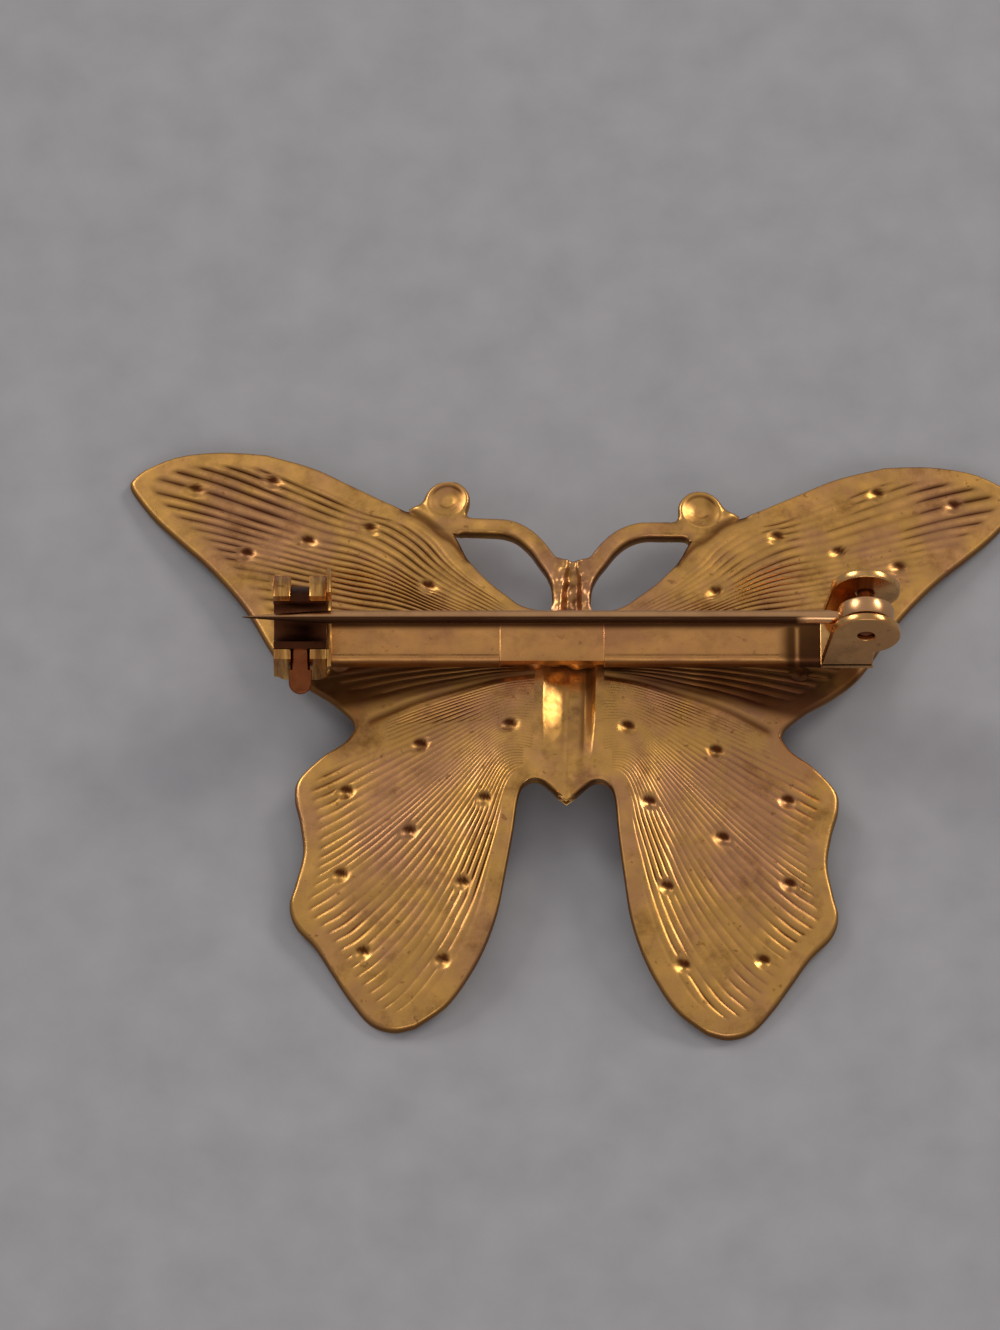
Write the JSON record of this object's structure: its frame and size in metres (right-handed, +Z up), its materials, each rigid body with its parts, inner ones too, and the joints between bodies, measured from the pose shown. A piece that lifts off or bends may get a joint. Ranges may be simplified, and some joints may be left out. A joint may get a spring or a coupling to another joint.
{
  "type": "butterfly brooch",
  "caption": "Stamped sheet-metal butterfly brooch lying face down, with a soldered pin bar, a hinged pin stem and a C-shaped safety catch with a turning sleeve and lever.",
  "frame": {"origin": "on the surface it lies on, below the middle of the part's bounding box", "axes": "+X along the pin bar from catch to hinge, +Y from the tails to the antennae, +Z up, away from the face"},
  "size_m": [0.0546, 0.0402, 0.0105],
  "materials": {
    "stamped_brass": "gold-tone plate, worn and tarnished",
    "sleeve_brass": "gold-tone plate, dull and brown",
    "wire_brass": "gold-tone plate, polished by use",
    "rivet_brass": "dark tarnish"
  },
  "bodies": {
    "brooch": {"butterfly": "stamped_brass", "hinge_rivet": "rivet_brass"},
    "stem": {"pin_stem": "wire_brass"},
    "rotor": {"catch_rotor": "sleeve_brass"}
  },
  "joints": [
    {"name": "stem_swing", "type": "hinge", "parent": "brooch", "child": "stem", "pos_m": [0.01758, 0.00452, 0.00829], "axis": [0, 1, 0], "range_deg": [0, 80]},
    {"name": "rotor_turn", "type": "hinge", "parent": "brooch", "child": "rotor", "pos_m": [-0.0167, 0.00492, 0.00739], "axis": [-1, 0, 0], "range_deg": [0, 110]}
  ]
}
